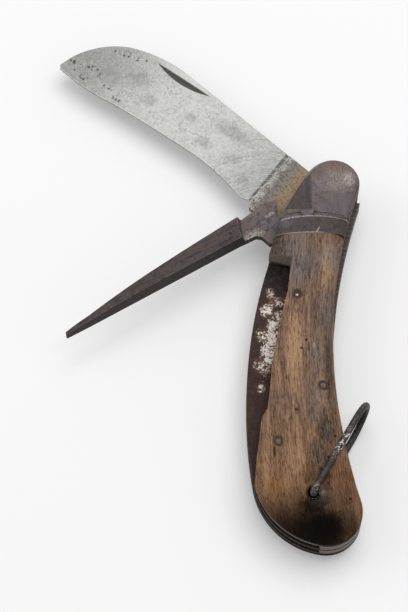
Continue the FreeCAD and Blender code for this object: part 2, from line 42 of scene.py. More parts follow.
# Ragged patches: how far the rim wanders and where it fades, as shares of the half sizes
BLOT_WANDER = 1.1
BLOT_FADE = (0.25, 1.0)

NOISE_MIDDLE = 0.5
BEVEL_SAMPLES = 8

# Wood: the pitches of the three kinds of fibre are for each fibre width
BROAD_PITCHES = (0.55, 0.045, 0.4)
FIBRE_PITCHES = (1.4, 0.11, 1.0)
FINE_PITCHES = (3.2, 0.34, 3.0)
SWAY_PITCHES = (0.05, 0.03, 0.05)
PORE_PITCHES = (2.6, 0.42, 2.6)
SMUDGE_PITCHES = (0.45, 0.2, 0.45)
GRAIN_MIDDLE = -43.5
GRAIN_HALF = 45.0
GRAIN_BOW = 3.2
GRAIN_SWAY = 3.0
LOWER_GRIP = (-82.0, -54.0)
PALE_GRIP = (-90.0, -78.0)
BUTT_WANDER = 3.0
BUTT_DARK = (-98.0, -84.0)
BUTT_LEFT = (0.0, 24.0)
RIVET_RADIUS = 1.25
BAIL_RING = (1.6, 2.6)
DOT_RIM = (0.2, 0.6)
WOOD_STREAK = ((-10.7, -74.8), (0.6, 2.6))
STREAK_FADE = (0.4, 1.0)
RECESS_WALL = (-20.0, -18.0)
FLANK_TOP = (5.4, 5.8)
FLANK_REACH = (-70.0, -50.0)
RUBBED_SHEEN_TOP = (-22.0, -19.0)
RUBBED_SHEEN_END = (-98.0, -90.0)
RUBBED_SHEEN_LEVEL = (8.0, 12.0)
# Stains, with painted light and shade in the rows marked below: colour, spot, half sizes, strength
WOOD_STAINS = (
    ("wood_grey", (-3.5, -16.0), (9.0, 14.0), 0.9),
    ("wood_slate", (-10.0, -11.5), (6.0, 7.0), 0.85),
    ("wood_grey", (8.6, -14.0), (2.4, 8.0), 0.6),
    ("wood_warm", (5.4, -18.5), (1.8, 10.0), 0.5),
    ("wood_end", (6.0, -15.5), (4.0, 7.0), 0.5),
    ("wood_slate", (1.8, -31.5), (2.6, 9.0), 0.6),
    ("wood_grey", (5.6, -33.0), (3.6, 12.0), 0.9),
    ("wood_warm", (-4.4, -45.0), (3.6, 17.0), 0.85),
    ("wood_slate", (4.8, -51.0), (1.7, 17.0), 0.8),
    ("wood_slate", (-1.8, -50.0), (1.0, 9.0), 0.55),
    ("wood_grey", (1.6, -46.0), (2.8, 10.0), 0.7),
    ("wood_warm", (0.9, -43.3), (0.8, 1.4), 0.6),
    ("wood_grey", (1.0, -61.0), (3.6, 10.0), 0.45),
    ("wood_warm", (-5.4, -76.0), (3.6, 8.0), 0.3),
    # Warm row along the left rim: partly wear, partly painted highlight
    ("wood_warm", (-13.2, -80.0), (1.2, 12.0), 0.4),
    ("wood_red", (4.6, -74.0), (5.5, 13.0), 0.6),
    ("wood_slate", (3.8, -68.5), (3.4, 8.0), 0.9),
    ("wood_slate", (1.4, -75.5), (3.4, 6.0), 0.8),
    ("wood_dark", (-0.6, -81.0), (3.4, 5.5), 0.5),
    ("wood_ochre", (-10.6, -85.0), (3.0, 5.0), 0.6),
    ("wood_red", (8.8, -84.0), (5.0, 9.0), 0.75),
    # Dark rows from here on: partly stain, partly painted shade of the bail leg, the bail hole's
    # hollow and the butt
    ("wood_dark", (3.2, -83.0), (2.6, 6.0), 0.55),
    ("wood_dark", (-0.8, -90.0), (5.0, 4.4), 0.85),
    ("wood_slate", (1.6, -87.6), (5.4, 4.0), 0.75),
    ("wood_dark", (9.5, -94.5), (5.0, 6.0), 0.35),
    ("wood_dark", (2.2, -96.8), (8.5, 7.5), 0.8),
)
SHADE_FADE = (0.15, 1.0)
# Painted shade, with some stain, smooth over the butt where it turns from the light: spot, half
# sizes, strength
BUTT_SHADES = (
    ((-1.5, -98.5), (20.0, 16.0), 0.85),
    ((2.6, -95.6), (6.8, 5.6), 0.97),
)
WOOD_DOTS = (
    (-2.7, -44.1),
    (-1.3, -41.6),
    (-4.6, -62.5),
    (6.1, -70.2),
    (4.2, -76.4),
    (9.9, -88.0),
)

# Bolsters, and the iron that the spike shares with them
IRON_PITCHES = (0.8, 0.55, 0.8)
STROKE_PITCHES = (2.2, 0.35, 2.2)
FACET_EDGE = (1.2, 1.5)
FACET_FOOT = (0.2, 0.5)
NECK_BAND = (-2.6, -1.4)
NECK_RIGHT = (2.0, 12.0)
PLUM_SPOT = ((-6.6, -4.2), (3.0, 2.4))
LICHEN_SPOT = ((1.6, 14.6), (7.0, 5.0))
LICHEN_RIM = (4.0, 10.0)
PIVOT_RIM = (2.6, 3.2)
GROOVE_CROWN = (2.0, -1.8)
GROOVE_CURVE = 0.0148
LIP_WIDTH = (0.08, 0.3)
LIP_LEFT = (-8.8, -7.0)
LIP_RIGHT = (12.0, 13.6)
ARCH_MIDDLE = 1.5
ARCH_SPREAD = 10.0
ARCH_RIM = (-7.15, -6.85)
ARCH_LEFT = (2.0, 6.0)
SCRATCH = (2.9, -6.4)
SCRATCH_ANGLE = 60.0
SCRATCH_END = (0.7, 1.1)
SCRATCH_SIDE = (0.08, 0.22)
BOLSTER_STAINS = (
    # The dome's lighter row and its pale row: partly patina, partly painted highlight where the
    # dome faces the light
    ("iron_dust_and_sheen", (8.5, 11.5), (8.5, 8.0), 0.8),
    ("iron_umber", (4.0, 13.0), (3.6, 4.0), 0.7),
    ("rust_red", (9.0, 15.2), (5.0, 3.2), 0.6),
    ("iron_pale", (12.4, 10.4), (2.6, 3.4), 0.7),
    ("iron_plum", (7.0, 2.5), (7.5, 5.0), 0.8),
    ("iron_slate", (0.3, 7.0), (1.1, 8.0), 0.85),
    ("iron_umber", (-3.0, 4.0), (2.6, 7.0), 0.5),
)

# Spike, along and across it
SPIKE_PITCHES = (0.1, 2.0, 2.0)
SPIKE_STEP = (17.5, 20.5)
SPIKE_STAIN = ((17.0, -6.0), (3.0, 5.0))
# Painted highlights on the spike's root: spot, half sizes
SPIKE_HIGHLIGHTS = (
    ((16.5, -3.0), (4.5, 2.4)),
    ((8.6, -6.9), (2.4, 0.7)),
)

# Liners
FRONT_LINER = (11.0, 11.6)
LINER_LEFT = (-1.0, 3.0)
LINER_RIGHT = (0.0, 4.0)
LINER_BUTT = (-96.0, -84.0)
RUST_TOP = (-24.0, -20.0)
SLOT_SHADE = (-86.0, -80.0)
# White bloom: thick crust, and thin wisps round it
BLOOM_SPOTS = (
    ((-12.0, -28.4), (2.6, 3.0)),
    ((-10.4, -33.0), (2.6, 3.4)),
    ((-10.7, -37.4), (3.0, 5.4)),
    ((-11.5, -42.0), (3.4, 6.0)),
)
BLOOM_WISPS = (
    ((-11.0, -22.8), (1.8, 3.0)),
    ((-8.8, -25.6), (4.0, 2.6)),
    ((-8.8, -30.6), (3.0, 3.6)),
    ((-13.0, -36.2), (3.2, 3.4)),
    ((-13.2, -46.0), (4.0, 4.0)),
    ((-14.0, -52.8), (1.7, 2.6)),
)

# Springs
HATCH_PITCH = 4.4
HATCH_WANDER = 5.0
HATCH_END = (-50.0, -40.0)
SPRING_ARM = (-60.0, -40.0)
SPRING_BUTT = (-97.0, -88.0)

# Blade, along and across it
BLADE_MIDDLE = 49.0
# Painted highlight on the blade: how far it wanders, and where it fades from the blade's middle
HIGHLIGHT_WANDER = 30.0
HIGHLIGHT_FADE = (4.0, 44.0)
SPINE_GLINT = ((60.0, -20.0), (13.0, 1.6))
STRAY_PITS = (62.0, 80.0)
TANG_WANDER = 3.0
TANG_END = (17.6, 18.3)
TANG_GREY = (11.0, 14.0)
TANG_GOLD = (11.0, 15.5)
TANG_CRUST = (15.6, 16.8)
PLUNGE_START = (18.0, 18.2)
PLUNGE_END = (18.9, 19.5)
NICK_LEVEL = (8.28, 8.36)
NICK_SIDE = (-15.6, -15.2)
NICK_START = (44.0, 46.0)
NICK_LIP_START = (47.0, 49.0)
NICK_LIP_END = (71.0, 73.0)
NICK_LIP_SIDE = (-19.8, -19.2)
SPINE_SIDE = (-12.0, -6.0)
EDGE_SIDE = (-6.0, -3.0)
GRIND_CENTRE = (10.0, 8.0)
GRIND_PITCHES = (2.2, 0.08, 0.0)
GRIND_PALE = (26.0, 46.0)
GRIND_DULL = (26.0, 40.0)
# Pits: how close they stand, how far their rims wander, and their clusters
PIT_CROWDING = 0.5
PIT_WANDER = 0.4
PIT_SPOTS = (
    ((85.2, -5.0), (3.0, 1.8)),
    ((82.6, -4.4), (1.8, 1.4)),
    ((85.1, -0.9), (2.2, 1.3)),
    ((77.2, -2.1), (2.4, 1.6)),
    ((72.4, -0.8), (2.2, 1.4)),
    ((82.7, -14.3), (1.3, 1.1)),
    ((79.6, -15.3), (1.6, 1.9)),
    ((76.2, -16.0), (1.2, 1.0)),
    ((73.3, -16.8), (1.2, 1.0)),
    ((89.4, -1.8), (1.2, 1.0)),
    ((91.1, -0.5), (1.2, 1.0)),
    ((91.4, -3.4), (1.6, 1.1)),
)
# Dull clouds
BLADE_CLOUDS = (
    ((79.0, -6.5), (7.0, 4.5)),
    ((72.0, -10.8), (7.0, 5.0)),
    ((64.2, -6.7), (3.6, 2.6)),
    ((50.0, -9.4), (3.0, 2.2)),
    ((41.5, -4.7), (3.8, 2.6)),
    ((37.0, -12.8), (10.0, 3.6)),
    ((30.4, -5.5), (3.6, 2.4)),
    ((24.0, -1.6), (3.4, 2.2)),
)

# Pins and bail, from the middle outwards
PIN_CORE = (0.2, 0.8)
PIN_RING = (0.6, 1.0)
PIN_RIM = (1.3, 1.5)
RIVET_GLINT = ((-3.6, -27.5), (0.5, 0.42))
GLINT_FADE = (0.5, 1.1)
BAIL_RUB_AND_GLINT = (0.8, 2.8)
SPECK_START = (9.5, 13.0)
SPECK_END = (19.0, 24.0)
SPECK_LEVEL = (9.0, 12.0)

# Lamps and camera: places and lamp sizes in metres, the sensor in millimetres
KEY_PLACE = (0.2, 0.22, 1.05)
KEY_SIZE = 1.1
FILL_PLACE = (-0.75, 0.1, 0.6)
FILL_SIZE = 0.7
SENSOR_HEIGHT = 36.0

SHARE = {"subtype": "FACTOR", "min": 0, "max": 1}


def paint(code):
    """Linear colour of a six-figure colour code."""
    parts = [int(code[start : start + 2], 16) / 255 for start in (0, 2, 4)]
    return tuple(
        ((part + 0.055) / 1.055) ** 2.4 if part > 0.04045 else part / 12.92 for part in parts
    )


def colour(name, code, description):
    return FloatVectorProperty(
        name=name, description=description, subtype="COLOR", min=0, max=1, default=paint(code)
    )


def setting(name, value, description, **kind):
    return FloatProperty(name=name, description=description, default=value, **kind)


def length(name, millimetres, description):
    return setting(name, millimetres / MM, description, unit="LENGTH", min=0)


class KnifeFinish(bpy.types.PropertyGroup):
    """Colours and detail sizes of the knife's surfaces"""

    # Warm wood also paints the highlight on the worn edges and the left rim
    wood_warm: colour("Warm wood", "bd9774", "Bare wood where the hand has polished it")
    wood_mid: colour("Mid wood", "7f6557", "Wood between the light and the dark fibres")
    wood_tan: colour("Tan wood", "8c6643", "Yellower wood of the lower grip")
    wood_grey: colour("Grey wood", "766e6b", "Weathered wood by the bolster and the springs")
    wood_slate: colour("Slate wood", "4a4543", "Dark grey streaks along the grain")
    wood_ochre: colour("Ochre wood", "94693a", "Yellow wood near the butt")
    wood_red: colour("Red wood", "6a4a3a", "Red-brown wood beside the bail")
    # End grain also paints light on the recess's end wall
    wood_end: colour("End grain", "9c918a", "Bare end wall of the spike's recess")
    # Dark wood also paints shade at the butt, round the bail hole and on the back scale's sides
    wood_dark: colour("Dark wood", "060302", "Stained wood at the butt and round the pins")
    iron_brown: colour("Brown iron", "6e625e", "Patina of the bolsters and the spike")
    iron_plum: colour("Plum iron", "645d64", "Cooler patches of the patina")
    # Lighter iron on the bolster's dome, partly a painted highlight; it also lightens the springs'
    # butt ends
    iron_dust_and_sheen: colour("Dusty iron", "978b85", "Lighter dome of the bolster")
    iron_umber: colour("Umber iron", "66544a", "Warmer patches of the patina")
    iron_slate: colour("Slate iron", "4d4f57", "Blue-grey band on the bolster's facet")
    iron_dark: colour("Dark iron", "231c1b", "Shaded and oiled iron of liners and springs")
    # Pale iron also paints highlights: on the bolster's lip, rim and edges, on the spike, and the
    # glints on one rivet and the bail
    iron_pale: colour("Pale iron", "b9b1a8", "Iron rubbed bright on edges")
    rust_red: colour("Red rust", "76503f", "Rust stain on the bolster")
    rust_gold: colour("Gold rust", "a68c6e", "Thin rust on the blade's tang")
    rust_brown: colour("Brown rust", "48332e", "Rust on the liner in the recess")
    lichen: colour("Green rim", "9a9d8f", "Greenish film on the bolster's rim")
    # Light steel also paints the blade's highlight and the glint along its spine
    steel_light: colour("Light steel", "cfd0cd", "Polished spots of the blade")
    steel_mid: colour("Grey steel", "a9aaa7", "Dull grey of the blade")
    steel_dull: colour("Dull steel", "8f8f8c", "Darker grey towards the tip")
    steel_dark: colour("Pit", "2f2b29", "Pits and the nail nick of the blade")
    # White also paints the highlight along the blade's cutting edge and the glints on the bail
    white_bloom_and_highlight: colour("White bloom", "f2ebe2", "Corrosion bloom in the spike's recess")
    wire_dark: colour("Wire", "1f1c1b", "Blackened wire of the bail")
    edge_softness: length("Edge softness", 0.25, "How far an edge is rounded by wear")
    wood_fibre: length("Fibre width", 0.9, "Width of the wood's broad fibres")
    pit_size: length("Pit size", 0.55, "Size of single pits in the steel")
    ring_width: length("Ring width", 0.6, "Dark ring in the wood round a pin")


class KnifeStage(bpy.types.PropertyGroup):
    """Floor, lamps and camera"""

    floor_reach: setting("Floor", 3.0, "Half width of the floor", unit="LENGTH")
    floor_white: colour("Floor colour", "ffffff", "Pale table top")
    floor_bounce: colour("Floor bounce", "6e6e6e", "Table colour that lights the knife from below")
    floor_glow: setting("Floor glow", 0.2, "Floor's white in full shade", **SHARE)
    floor_lit: setting("Floor share", 0.84, "Floor's white from the lamps", **SHARE)
    key_watts: setting("Key lamp", 6.2, "Power of the lamp behind the knife", unit="POWER")
    fill_watts: setting("Fill lamp", 1.0, "Power of the lamp on the left", unit="POWER")
    sky: setting("Sky", 0.44, "Strength of the even light")
    elevation: setting(
        "View elevation", math.radians(64), "Camera above the horizon", subtype="ANGLE"
    )
    distance: setting("View distance", 0.5581, "Camera to target", unit="LENGTH")
    target: FloatVectorProperty(
        name="View target",
        description="Point at the image's centre",
        subtype="XYZ",
        unit="LENGTH",
        default=(-0.03017, -0.02613, 0.008),
    )
    lens: setting("Lens", 112.94, "Focal length for a 36 mm high image", unit="CAMERA")


def both_ways(operation):
    """An operator of Value and its reflected form."""

    def forward(self, other):
        return self._math(operation, self, other)

    def reflected(self, other):
        return self._math(operation, other, self)

    return forward, reflected


class Value:
    """One number in a shader graph; arithmetic on it adds Math nodes."""

    def __init__(self, graph, socket):
        self.graph = graph
        self.socket = socket

    def _math(self, operation, first, second=0.0):
        return self.graph.node("ShaderNodeMath", {"operation": operation}, {0: first, 1: second})

    __add__, __radd__ = both_ways("ADD")
    __sub__, __rsub__ = both_ways("SUBTRACT")
    __mul__, __rmul__ = both_ways("MULTIPLY")
    __truediv__, __rtruediv__ = both_ways("DIVIDE")
    __pow__, __rpow__ = both_ways("POWER")
    __or__, __ror__ = both_ways("MAXIMUM")

    def __abs__(self):
        return self._math("ABSOLUTE", self)

    def root(self):
        return self._math("SQRT", self)

    def wave(self):
        return self._math("SINE", self)

    def rise(self, low, high):
        """0 below low, 1 above high, smooth between."""
        spans = {"Value": self, "From Min": low, "From Max": high}
        return self.graph.node("ShaderNodeMapRange", {"interpolation_type": "SMOOTHSTEP"}, spans)

    def fall(self, low, high):
        return 1 - self.rise(low, high)

    def drift(self, reach):
        """Noise as a shift to both sides."""
        return (self - NOISE_MIDDLE) * reach


class Graph:
    """Empty node tree of a material or a world."""

    def __init__(self, owner):
        owner.use_nodes = True
        self.tree = owner.node_tree
        self.tree.nodes.clear()

    def node(self, kind, settings=None, inputs=None, output=0):
        """Any node: settings are set first, then each socket gets its value or link."""
        made = self.tree.nodes.new(kind)
        for key, value in (settings or {}).items():
            setattr(made, key, value)
        for key, value in (inputs or {}).items():
            if isinstance(value, Value):
                self.tree.links.new(value.socket, made.inputs[key])
            else:
                made.inputs[key].default_value = value
        return Value(self, made.outputs[output] if made.outputs else None)

    def seen(self):
        """1 where the camera looks, straight or by a reflection."""
        rays = self.node("ShaderNodeLightPath").socket.node.outputs
        found = Value(self, rays["Is Camera Ray"])
        for name in ("Is Glossy Ray", "Is Transmission Ray"):
            found = found | Value(self, rays[name])
        return found


class Skin(Graph):
    """Material of a piece, read in millimetres of the row frame."""

    def __init__(self, name, finish):
        self.material = bpy.data.materials.new(name)
        super().__init__(self.material)
        self.finish = finish
        metres = self.node("ShaderNodeTexCoord", output="Object")
        self.place = self.vector("MULTIPLY", metres, (MM, MM, MM))
        self.x, self.y, self.z = self.parts(self.place)
        self.facing = self.parts(self.node("ShaderNodeTexCoord", output="Normal"))
        self.ragged = self.noise(self.place, scale=0.6, detail=4.0, roughness=0.65)

    def parts(self, vector):
        made = self.node("ShaderNodeSeparateXYZ", inputs={0: vector}).socket.node
        return [Value(self, socket) for socket in made.outputs]

    def vector(self, operation, first, second, output=0):
        ends = {0: first, 1: second}
        return self.node("ShaderNodeVectorMath", {"operation": operation}, ends, output)

    def join(self, x, y, z):
        return self.node("ShaderNodeCombineXYZ", inputs={0: x, 1: y, 2: z})

    def turned(self, degrees, centre=PIVOT):
        """Distances along and across a direction from a centre, in the plane of the handle."""
        cosine = math.cos(math.radians(degrees))
        sine = math.sin(math.radians(degrees))
        x, y = self.x - centre[0], self.y - centre[1]
        return x * cosine + y * sine, y * cosine - x * sine

    def away(self, spot, size=(1.0, 1.0), axes=None):
        """Distance from a spot, as a share of the half sizes, in the plane of the handle."""
        first, second = axes or (self.x, self.y)
        return (((first - spot[0]) / size[0]) ** 2 + ((second - spot[1]) / size[1]) ** 2).root()

    def blot(self, spot, size, axes=None):
        """Ragged patch: 1 on its spot, 0 beyond its half sizes."""
        return (self.away(spot, size, axes) + self.ragged.drift(BLOT_WANDER)).fall(*BLOT_FADE)

    def patches(self, spots, axes=None):
        """Several ragged patches as one mask."""
        first, *others = [self.blot(spot, size, axes) for spot, size in spots]
        for other in others:
            first = first | other
        return first

    def noise(self, vector, scale, detail, roughness):
        sizes = {"Vector": vector, "Scale": scale, "Detail": detail, "Roughness": roughness}
        return self.node("ShaderNodeTexNoise", inputs=sizes)

    def streaks(self, grain, pitches, detail, roughness=0.55, finer=1.0):
        """Noise drawn out one way, from its pitches along the axes of the grain."""
        scales = [pitch * finer for pitch in pitches]
        return self.noise(self.vector("MULTIPLY", grain, scales), 1.0, detail, roughness)

    def cells(self, vector, scale):
        """Distance to the nearest of scattered points."""
        return self.node("ShaderNodeTexVoronoi", inputs={"Vector": vector, "Scale": scale})

    def mix(self, first, second, share):
        """Blend of two colours; a colour may be named after a setting of the finish."""
        ends = {0: share, 6: self.tint(first), 7: self.tint(second)}
        return self.node("ShaderNodeMix", {"data_type": "RGBA"}, ends, 2)

    def tint(self, name):
        return name if isinstance(name, Value) else (*getattr(self.finish, name), 1.0)

    def soft_normal(self, share=1.0):
        """Normal rounded near edges, by a share of the edge softness."""
        radius = self.finish.edge_softness * share
        return self.node("ShaderNodeBevel", {"samples": BEVEL_SAMPLES}, {"Radius": radius})

    def edge(self, soft, low=0.03, high=0.2):
        """Edges, found where the rounded normal leaves the flat one."""
        flat = self.node("ShaderNodeNewGeometry", output="Normal")
        return (1 - self.vector("DOT_PRODUCT", soft, flat, "Value")).rise(low, high)

    def surface(self, tint, roughness, metallic, height, depth, soft, gloss):
        """Close the graph: height runs from 0 to 1, depth is its size in millimetres."""
        bump = self.node(
            "ShaderNodeBump",
            inputs={"Strength": 1.0, "Distance": depth / MM, "Height": height, "Normal": soft},
        )
        shader = self.node(
            "ShaderNodeBsdfPrincipled",
            inputs={
                "Base Color": tint,
                "Roughness": roughness,
                "Metallic": metallic,
                "Normal": bump,
                "Specular IOR Level": gloss,
            },
        )
        self.node("ShaderNodeOutputMaterial", inputs={"Surface": shader})
        return self.material


def dress(names, material):
    for name in names:
        slots = NODES[name].data.materials
        slots.clear()
        slots.append(material)


def wood_material(finish):
    graph = Skin("worn_wood", finish)
    x, y = graph.x, graph.y
    finer = 1 / (finish.wood_fibre * MM)
    sway = graph.streaks(graph.place, SWAY_PITCHES, detail=2.0)
    bend = ((y - GRAIN_MIDDLE) / GRAIN_HALF) ** 2 * GRAIN_BOW
    grain = graph.join(x - bend + sway * GRAIN_SWAY, y, graph.z)
    broad = graph.streaks(grain, BROAD_PITCHES, detail=3.0, roughness=0.6, finer=finer)
    fibre = graph.streaks(grain, FIBRE_PITCHES, detail=4.0, roughness=0.7, finer=finer)
    fine = graph.streaks(grain, FINE_PITCHES, detail=3.0, roughness=0.7, finer=finer)
    pores = graph.streaks(grain, PORE_PITCHES, detail=2.0).rise(0.6, 0.72)

    tint = graph.mix("wood_mid", "wood_tan", y.fall(*LOWER_GRIP) * 0.6)
    tint = graph.mix(tint, "wood_warm", broad.rise(0.45, 0.66) * 0.4)
    for name, spot, size, strength in WOOD_STAINS:
        tint = graph.mix(tint, name, graph.blot(spot, size) * strength)
    # Painted shade, with some stain, darkening the butt where it turns away from the light
    shaded = (y + graph.ragged.drift(BUTT_WANDER)).fall(*BUTT_DARK) * x.fall(*BUTT_LEFT)
    tint = graph.mix(tint, "wood_dark", shaded * 0.8)
    for spot, size, strength in BUTT_SHADES:
        tint = graph.mix(tint, "wood_dark", graph.away(spot, size).fall(*SHADE_FADE) * strength)
    dark = fibre.rise(0.48, 0.68) * 0.36 + fine.rise(0.48, 0.62) * 0.34
    tint = graph.mix(tint, "wood_dark", dark)
    pale = fibre.fall(0.3, 0.46) * 0.26 + fine.fall(0.36, 0.5) * 0.24
    tint = graph.mix(tint, "wood_warm", pale * y.rise(*PALE_GRIP))

    marks = pores * 0.45
    for spot in RIVETS:
        ring = graph.away(spot).fall(RIVET_RADIUS, RIVET_RADIUS + finish.ring_width * MM)
        marks = marks | ring * 0.9
    # Dark ring round the bail hole: partly stain, partly painted shade in its hollow
    marks = marks | graph.away(BAIL_HOLE).fall(*BAIL_RING) * 0.95
    for spot in WOOD_DOTS:
        marks = marks | graph.away(spot).fall(*DOT_RIM) * 0.85
    streak = graph.away(*WOOD_STREAK).fall(*STREAK_FADE) * 0.75
    smudges = graph.streaks(graph.place, SMUDGE_PITCHES, detail=4.0, roughness=0.7)
    tint = graph.mix(tint, "wood_dark", marks | streak | smudges.rise(0.58, 0.72) * 0.45)

    # Recess end wall: partly bare end grain, partly painted light so the wall, which faces away
    # from the lamp, reads as lit as the top
    wall = graph.facing[1].fall(-0.85, -0.45) * y.rise(*RECESS_WALL)
    tint = graph.mix(tint, "wood_end", wall * (broad * 0.5 + 0.65))
    # Painted shade on the back scale's sides, low by the table in the lower grip
    flank_shade = abs(graph.facing[2]).fall(0.4, 0.8) * graph.z.fall(*FLANK_TOP) * y.fall(*FLANK_REACH)
    tint = graph.mix(tint, "wood_dark", flank_shade * 0.75)
    soft = graph.soft_normal(2.0)
    # Pale worn edges of the wood: partly wear, partly painted highlight
    rubbed_and_highlight = graph.edge(soft) * y.fall(*RUBBED_SHEEN_TOP) * y.rise(*RUBBED_SHEEN_END)
    tint = graph.mix(tint, "wood_warm", rubbed_and_highlight * graph.z.rise(*RUBBED_SHEEN_LEVEL) * 0.75)
    height = fine * 0.35 + fibre * 0.5 - pores * 0.5 - marks * 0.4
    roughness = 0.62 - broad * 0.1 + pores * 0.15
    return graph.surface(
        tint, roughness, metallic=0.0, height=height, depth=0.16, soft=soft, gloss=0.03
    )


def iron_patina(graph, base, dark_share):
    """Mottled iron: colour, two grains and relief shared by bolsters and spike."""
    mottle = graph.streaks(graph.place, IRON_PITCHES, detail=5.0, roughness=0.75)
    grit = graph.noise(graph.place, scale=1.9, detail=4.0, roughness=0.75)
    cloud = graph.noise(graph.place, scale=0.2, detail=3.0, roughness=0.6)
    tint = graph.mix(base, "iron_plum", cloud.rise(0.42, 0.6) * 0.7)
    tint = graph.mix(tint, "iron_dark", mottle.rise(0.46, 0.7) * dark_share)
    tint = graph.mix(tint, "iron_pale", grit.rise(0.54, 0.74) * 0.34)
    pits = graph.cells(graph.place, 1.1).fall(0.12, 0.34) * mottle.rise(0.48, 0.62)
    tint = graph.mix(tint, "iron_dark", pits * 0.55)
    return tint, mottle, grit, mottle * 0.6 + grit * 0.35 - pits * 0.5


def bolster_material(finish):
    graph = Skin("bolster_patina", finish)
    x, y = graph.x, graph.y
    tint, mottle, grit, height = iron_patina(graph, "iron_brown", 0.55)
    strokes = graph.streaks(graph.place, STROKE_PITCHES, detail=3.0, roughness=0.7)
    broken = grit.rise(0.4, 0.58) * 0.7 + strokes.rise(0.4, 0.58) * 0.5
    for name, spot, size, strength in BOLSTER_STAINS:
        tint = graph.mix(tint, name, graph.blot(spot, size) * broken * strength)
    # Painted shade on the bolster's left facet, which faces away from the light
    tint = graph.mix(tint, "iron_dark", x.fall(*FACET_EDGE) * y.rise(*FACET_FOOT) * 0.4)
    tint = graph.mix(tint, "iron_dark", y.fall(*NECK_BAND) * (x.rise(*NECK_RIGHT) * 0.14 + 0.5))
    tint = graph.mix(tint, "iron_plum", graph.blot(*PLUM_SPOT) * 0.75)
    tint = graph.mix(tint, "iron_dark", strokes.rise(0.54, 0.75) * 0.34)

    # Pale lip under the groove and pale rim along the band's arch: painted highlights where these
    # edges catch the light
    groove = y + ((x - GROOVE_CROWN[0]) ** 2) * GROOVE_CURVE
    lip = abs(groove - GROOVE_CROWN[1]).fall(*LIP_WIDTH) * x.rise(*LIP_LEFT) * x.fall(*LIP_RIGHT)
    arch = y + (((x - ARCH_MIDDLE) / ARCH_SPREAD) ** 2)
    rim = arch.fall(*ARCH_RIM) * x.fall(*ARCH_LEFT)
    along, across = graph.turned(SCRATCH_ANGLE, SCRATCH)
    scratch = abs(along).fall(*SCRATCH_END) * abs(across).fall(*SCRATCH_SIDE)
    soft = graph.soft_normal(1.2)
    edge = graph.edge(soft) * graph.away(PIVOT).rise(*PIVOT_RIM)
    # Edges partly rubbed bright, partly painted highlight
    rubbed_and_highlight = (edge * 0.8) | (lip * (strokes.rise(0.36, 0.58) * 0.55 + 0.25)) | (rim * 0.6)
    tint = graph.mix(tint, "iron_pale", rubbed_and_highlight * grit.rise(0.3, 0.5) | scratch * 0.8)
    slope = graph.facing[2].fall(0.7, 0.97) * graph.blot(*LICHEN_SPOT)
    tint = graph.mix(tint, "lichen", (slope | edge * y.rise(*LICHEN_RIM)) * (grit * 0.6 + 0.4))
    roughness = 0.55 + mottle * 0.2
    height = height + strokes * 0.4
    return graph.surface(
        tint, roughness, metallic=0.2, height=height, depth=0.14, soft=soft, gloss=0.22
    )


def spike_material(finish):
    graph = Skin("spike_patina", finish)
    axes = graph.turned(SPIKE_ANGLE)
    along, across = axes
    tint, mottle, grit, height = iron_patina(graph, "iron_brown", 0.7)
    grain = graph.join(along, across, graph.z)
    strokes = graph.streaks(grain, SPIKE_PITCHES, detail=3.0, roughness=0.7)
    dark = along.rise(*SPIKE_STEP) * 0.55 + strokes.rise(0.48, 0.7) * 0.3
    tint = graph.mix(tint, "iron_dark", dark)
    tint = graph.mix(tint, "iron_umber", graph.blot(*SPIKE_STAIN, axes) * 0.5)
    # Painted highlights on the spike's root
    highlight = graph.patches(SPIKE_HIGHLIGHTS, axes)
    tint = graph.mix(tint, "iron_pale", highlight * grit.rise(0.42, 0.56) * 0.8)
    # Painted shade on the spike's near side, which faces away from the lamp
    shade = graph.facing[1].fall(-0.6, -0.1)
    tint = graph.mix(tint, "iron_dark", shade * 0.74)
    soft = graph.soft_normal(1.5)
    # Ridges partly rubbed bright, partly painted highlight
    tint = graph.mix(tint, "iron_pale", graph.edge(soft) * grit.rise(0.3, 0.55) * 0.5)
    roughness = 0.5 + mottle * 0.2
    height = height + strokes * 0.4
    return graph.surface(
        tint, roughness, metallic=0.25, height=height, depth=0.14, soft=soft, gloss=0.22
    )


